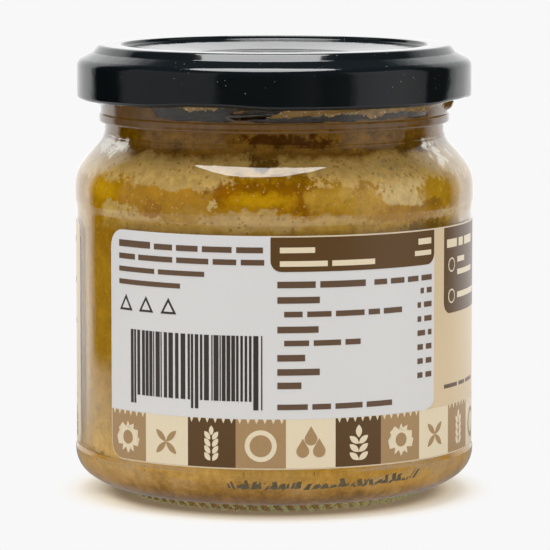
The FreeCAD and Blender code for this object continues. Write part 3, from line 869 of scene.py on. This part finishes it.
outer = glass_line[:glass_line[:, 1].argmax()]
heel = outer[(outer[:, 0] > BODY - 3) & (outer[:, 1] < PANEL_LOW - 1)]
HEEL_LOW, HEEL_HIGH = 4.9, 6.6
STROKES, STROKES_LEFT, STROKES_RIGHT = 46, -7.4, 24.5
reach_low, reach_high = np.interp([HEEL_LOW, HEEL_HIGH], heel[:, 1], heel[:, 0])
strokes = []
for start in np.linspace(STROKES_LEFT, STROKES_RIGHT, STROKES):
    wide, tall = chance.uniform(0.35, 1.0), chance.uniform(0.5, 1.6)
    lean = chance.uniform(-0.5, 0.6)
    low = HEEL_LOW + chance.uniform(0.1, 0.45) + 0.4 * (start / 24) ** 2
    strokes.append([(start, low), (start + wide, low + 0.1), (start + wide + lean * tall, low + tall),
                    (start + lean * tall + 0.15, low + tall - 0.15)])
GREY_INK = plain("grey ink", tint(98, 86, 56), 0.6, 0.5, 0.6)
wrapped("heel_marks", strokes, -0.03, 0.02, GREY_INK, "vegetable_spread",
        reach_low, (reach_high - reach_low) / (HEEL_HIGH - HEEL_LOW), HEEL_LOW)

# ---- The lid -----------------------------------------------------------------------------------
# Tinplate with black lacquer: a panel drawn down round its safety button, the ring that sits on
# the rim, a skirt, and an edge rolled inwards and pressed into four lugs that grip the threads.

lid_low, lid_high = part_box("lid")
LID_TOP = lid_high.z / MM
SHEET = 0.25
SKIRT = FINISH + 3.95
CURL = 0.7
CURL_AT = np.array([SKIRT - CURL, lid_low.z / MM + CURL])
CURL_TURN = 290.0
BUTTON = LID_TOP - 1.95
LUGS, LUG_AT, LUG_HALF, LUG_REACH = 4, -20.0, 9.0, 1.5
DENT_HALF, DENT_IN, DENT_UP, DENT_TALL = 20, 0.12, 0.4, 3.2
INSIDE_SKIRT = SKIRT - 2.35, SKIRT - 2.05

lid_outside = rounded([  # radius, height, round
    (0, BUTTON, 0),
    (14.2, BUTTON, 2.0),
    (15.0, BUTTON + 0.25, 2.0),
    (BORE - 0.78, LID_TOP - 0.65, 0.4),
    (BORE - 0.5, LID_TOP, 0.25),
    (FINISH + 0.25, LID_TOP, 0.9),
    (FINISH + 1.2, LID_TOP - 1.2, 0.6),
    (SKIRT, LID_TOP - 2.6, 1.6),
    (SKIRT, CURL_AT[1], 0),
], steps=8)


def offset(line, distance):
    """The line moved sideways to the right of its direction."""
    along = np.gradient(line, axis=0)
    along /= np.linalg.norm(along, axis=1)[:, None]
    return line + np.stack([along[:, 1], -along[:, 0]], axis=1) * distance


def roll(radius):
    turn = np.radians(np.linspace(0, -CURL_TURN, 30))
    return CURL_AT + radius * np.stack([np.cos(turn), np.sin(turn)], axis=1)


lid_outside = lid_outside[np.r_[True, np.linalg.norm(np.diff(lid_outside, axis=0), axis=1) > 1e-6]]
lid_inside = offset(lid_outside, SHEET)
lid_inside[0, 0] = 0
lid_line = np.vstack([lid_outside, roll(CURL)[1:], roll(CURL - SHEET)[::-1], lid_inside[-2::-1]])
lid_line = cut_up(lid_line, 0.6, SKIRT - 0.3, SKIRT + 0.1, CURL_AT[1], LID_TOP)


def press_lugs(radius, height, angle):
    """Presses the curl into lugs, which draws the foot of the skirt in and up beside them."""
    off = (angle - LUG_AT + 180 / LUGS) % (360 / LUGS) - 180 / LUGS
    lug = ease(-np.abs(off), -LUG_HALF, -LUG_HALF + 3)
    dent = ease(-np.abs(off), -DENT_HALF, -4)
    low = ease(-height, -CURL_AT[1] - DENT_TALL * dent - 0.1, -CURL_AT[1] + 0.2)
    low = low * ease(radius, *INSIDE_SKIRT)
    inner = ease(-radius, -CURL_AT[0] + 0.1, -CURL_AT[0] + 0.5)
    inner = inner * ease(-height, -UNDER_LID - 0.3, -UNDER_LID)
    radius = radius - DENT_IN * dent * low - (LUG_REACH - 0.1) * lug * inner
    return radius, height + DENT_UP * dent * low


def black_lacquer():
    """Stoved blue-black lacquer, duller where it was handled, on sheet that is never quite flat."""
    material, web = new_finish("black lacquer")
    place = web.place()
    handled = web.noise(11, 3, place, 0.6)
    waves = web.noise(4, 2, place)
    uneven = web.node("ShaderNodeBump", {}, {"Strength": 0.05, "Distance": MM, "Height": waves})
    web.finish(web.node("ShaderNodeBsdfPrincipled", {}, {
        "Base Color": web.mix(handled, (0.003, 0.0048, 0.006, 1), (0.0045, 0.0065, 0.0075, 1)),
        "Roughness": 0.05 + 0.06 * handled, "IOR": 1.5, "Normal": uneven}))
    return material


lid = new_piece("lid_shell", turned("lid_shell", lid_line, 360, press_lugs), black_lacquer())
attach(lid, "root")
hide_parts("lid")

DUST = plain("dust", tint(176, 176, 170), 0.8, 0.3)
DUST_LOW, DUST_HIGH = lid_low.z / MM + 2.5, LID_TOP - 0.2
scattered("lid_dust", lid, DUST, 5, 0.1, 0.04, 0.13, 0.3, low=DUST_LOW, high=DUST_HIGH)

# ---- The room ----------------------------------------------------------------------------------
# A pale table under a wide softbox, in a white room that is dark where the camera stands.

camera = bpy.data.objects.new("camera", bpy.data.cameras.new("camera"))
bpy.context.scene.collection.objects.link(camera)
camera.location = (0, -0.67597, 0.112947)
LOOKS_DOWN = 6.457
camera.rotation_euler = (math.radians(90 - LOOKS_DOWN), 0, 0)
camera.data.sensor_width = 36
camera.data.lens = 263.0
camera.data.shift_x = 0.00145
camera.data.clip_start = 0.01
bpy.context.scene.camera = camera

WHITE_LIGHT = tint(248, 248, 248)
TABLE, TABLE_SEEN, TABLE_MIRRORED = 0.4, (0.3, 0.39), (0.18, 0.23)  # its radius, and where it fades


def pale_table():
    """A matt board, white beyond the jar's shadow, that sends some light back up to the jar. Close to the
    jar it glows warm for the camera, painted warm light that lightens and tints the real shadow.
    """
    material, web = new_finish("pale table")
    distance = web.node("ShaderNodeVectorMath", {"operation": "LENGTH"}, {0: web.place()}, output="Value")
    # The board's brownish colour warms the jar's shadow: a painted warm tint in the shadow.
    board = web.node("ShaderNodeBsdfDiffuse", {}, {"Color": (0.68, 0.6, 0.48, 1)})
    seen, mirrored, through, bounced = [
        web.node("ShaderNodeLightPath", output="Is %s Ray" % kind)
        for kind in ("Camera", "Glossy", "Transmission", "Diffuse")]
    far = web.mix(web.step(distance, 0.05, 0.16), (0.3, 0.3, 0.3, 1), (1.0, 1.0, 1.0, 1))
    # Close to the jar the glow is warm, painted warm light in the jar's shadow; further out it is plain
    # white.
    white = web.mix(web.step(distance, 0.027, 0.036), tint(246, 228, 196), WHITE_LIGHT)
    colour = web.mix(mirrored, white, far)
    bright = web.node("ShaderNodeEmission", {}, {"Color": colour})
    # How much of the board glows instead of taking light. For the camera it is little at the foot and
    # more further out, so painted light lightens the real shadow. Seen through the glass it is a fixed
    # share, which brightens the foot of the jar.
    clear = 0.08 + web.step(distance, 0.026, 0.031) * 0.5 + web.step(distance, 0.031, 0.038) * 0.42
    fade = seen * clear + mirrored + through * 0.6 + bounced * 0.5
    board = web.node("ShaderNodeMixShader", {}, {0: fade, 1: board, 2: bright})
    open_air = web.node("ShaderNodeBsdfTransparent")
    fades, ends = [seen_at + (mirrored_at - seen_at) * mirrored
                   for seen_at, mirrored_at in zip(TABLE_SEEN, TABLE_MIRRORED)]
    rim = web.step(distance, fades, ends)
    web.finish(web.node("ShaderNodeMixShader", {}, {0: rim, 1: board, 2: open_air}))
    return material


def disc(name, radius):
    mesh = bpy.data.meshes.new(name)
    plate = bmesh.new()
    bmesh.ops.create_circle(plate, cap_ends=True, segments=96, radius=radius)
    plate.to_mesh(mesh)
    plate.free()
    return mesh


table = new_piece("table", disc("table", TABLE), pale_table())

softbox = bpy.data.lights.new("softbox", "AREA")
softbox.shape, softbox.size = "DISK", 0.94
softbox.energy = 21.0
lamp = bpy.data.objects.new("softbox", softbox)
bpy.context.scene.collection.objects.link(lamp)
lamp.location = (-0.09, -0.08, 1.12)
lamp.visible_camera = False

world = bpy.data.worlds.new("room")
bpy.context.scene.world = world
world.use_nodes = True
world.node_tree.nodes.clear()
web = Web(world.node_tree)
towards = web.node("ShaderNodeTexCoord", output="Generated")
x, y, z = web.split(towards)
azimuth = x.sum("ARCTAN2", x, y * -1.0) / (2 * math.pi) + 0.5
WALLS = (  # azimuth, brightness: white paper at the back and sides, with dark gaps between
    (-180, 1.3), (-150, 1.2), (-134, 1.2), (-127, 0.0), (-103, 0.0), (-98, 0.27), (-90, 0.34),
    (-60, 0.38), (-37, 0.38), (-31, 0.04), (5, 0.05), (22, 0.12), (29, 0.04), (44, 0.08),
    (49, 0.56), (62, 0.68), (78, 0.68), (92, 0.5), (97, 0.4), (100, 0.03), (120, 0.03),
    (127, 0.8), (136, 1.15), (150, 1.15), (180, 1.3),
)
stops = [((at + 180) / 360, (light, light, light, 1)) for at, light in WALLS]
walls = web.node("ShaderNodeValToRGB", {"stops": stops}, {"Fac": azimuth})
below = web.step(z, 0.02, -0.02)
walls = web.mix(web.step(z, 0.5, 0.72), walls, (0.04, 0.045, 0.05, 1))
sides = web.mix(web.step(x, -1, 1), (0.4, 0.4, 0.4, 1), (0.66, 0.66, 0.66, 1))
soft = web.mix(below, sides, (0.9, 0.9, 0.9, 1))
seen = web.node("ShaderNodeLightPath", output="Is Camera Ray")
seen_through = web.node("ShaderNodeLightPath", output="Is Transmission Ray")
mirrored = web.node("ShaderNodeLightPath", output="Is Glossy Ray")
light = web.mix(mirrored, soft, walls)
light = web.mix(seen.sum("MAXIMUM", seen, seen_through), light, WHITE_LIGHT)
backdrop = web.node("ShaderNodeBackground", {}, {"Color": light})
web.node("ShaderNodeOutputWorld", {}, {"Surface": backdrop})

bpy.context.scene.view_settings.view_transform = "Standard"
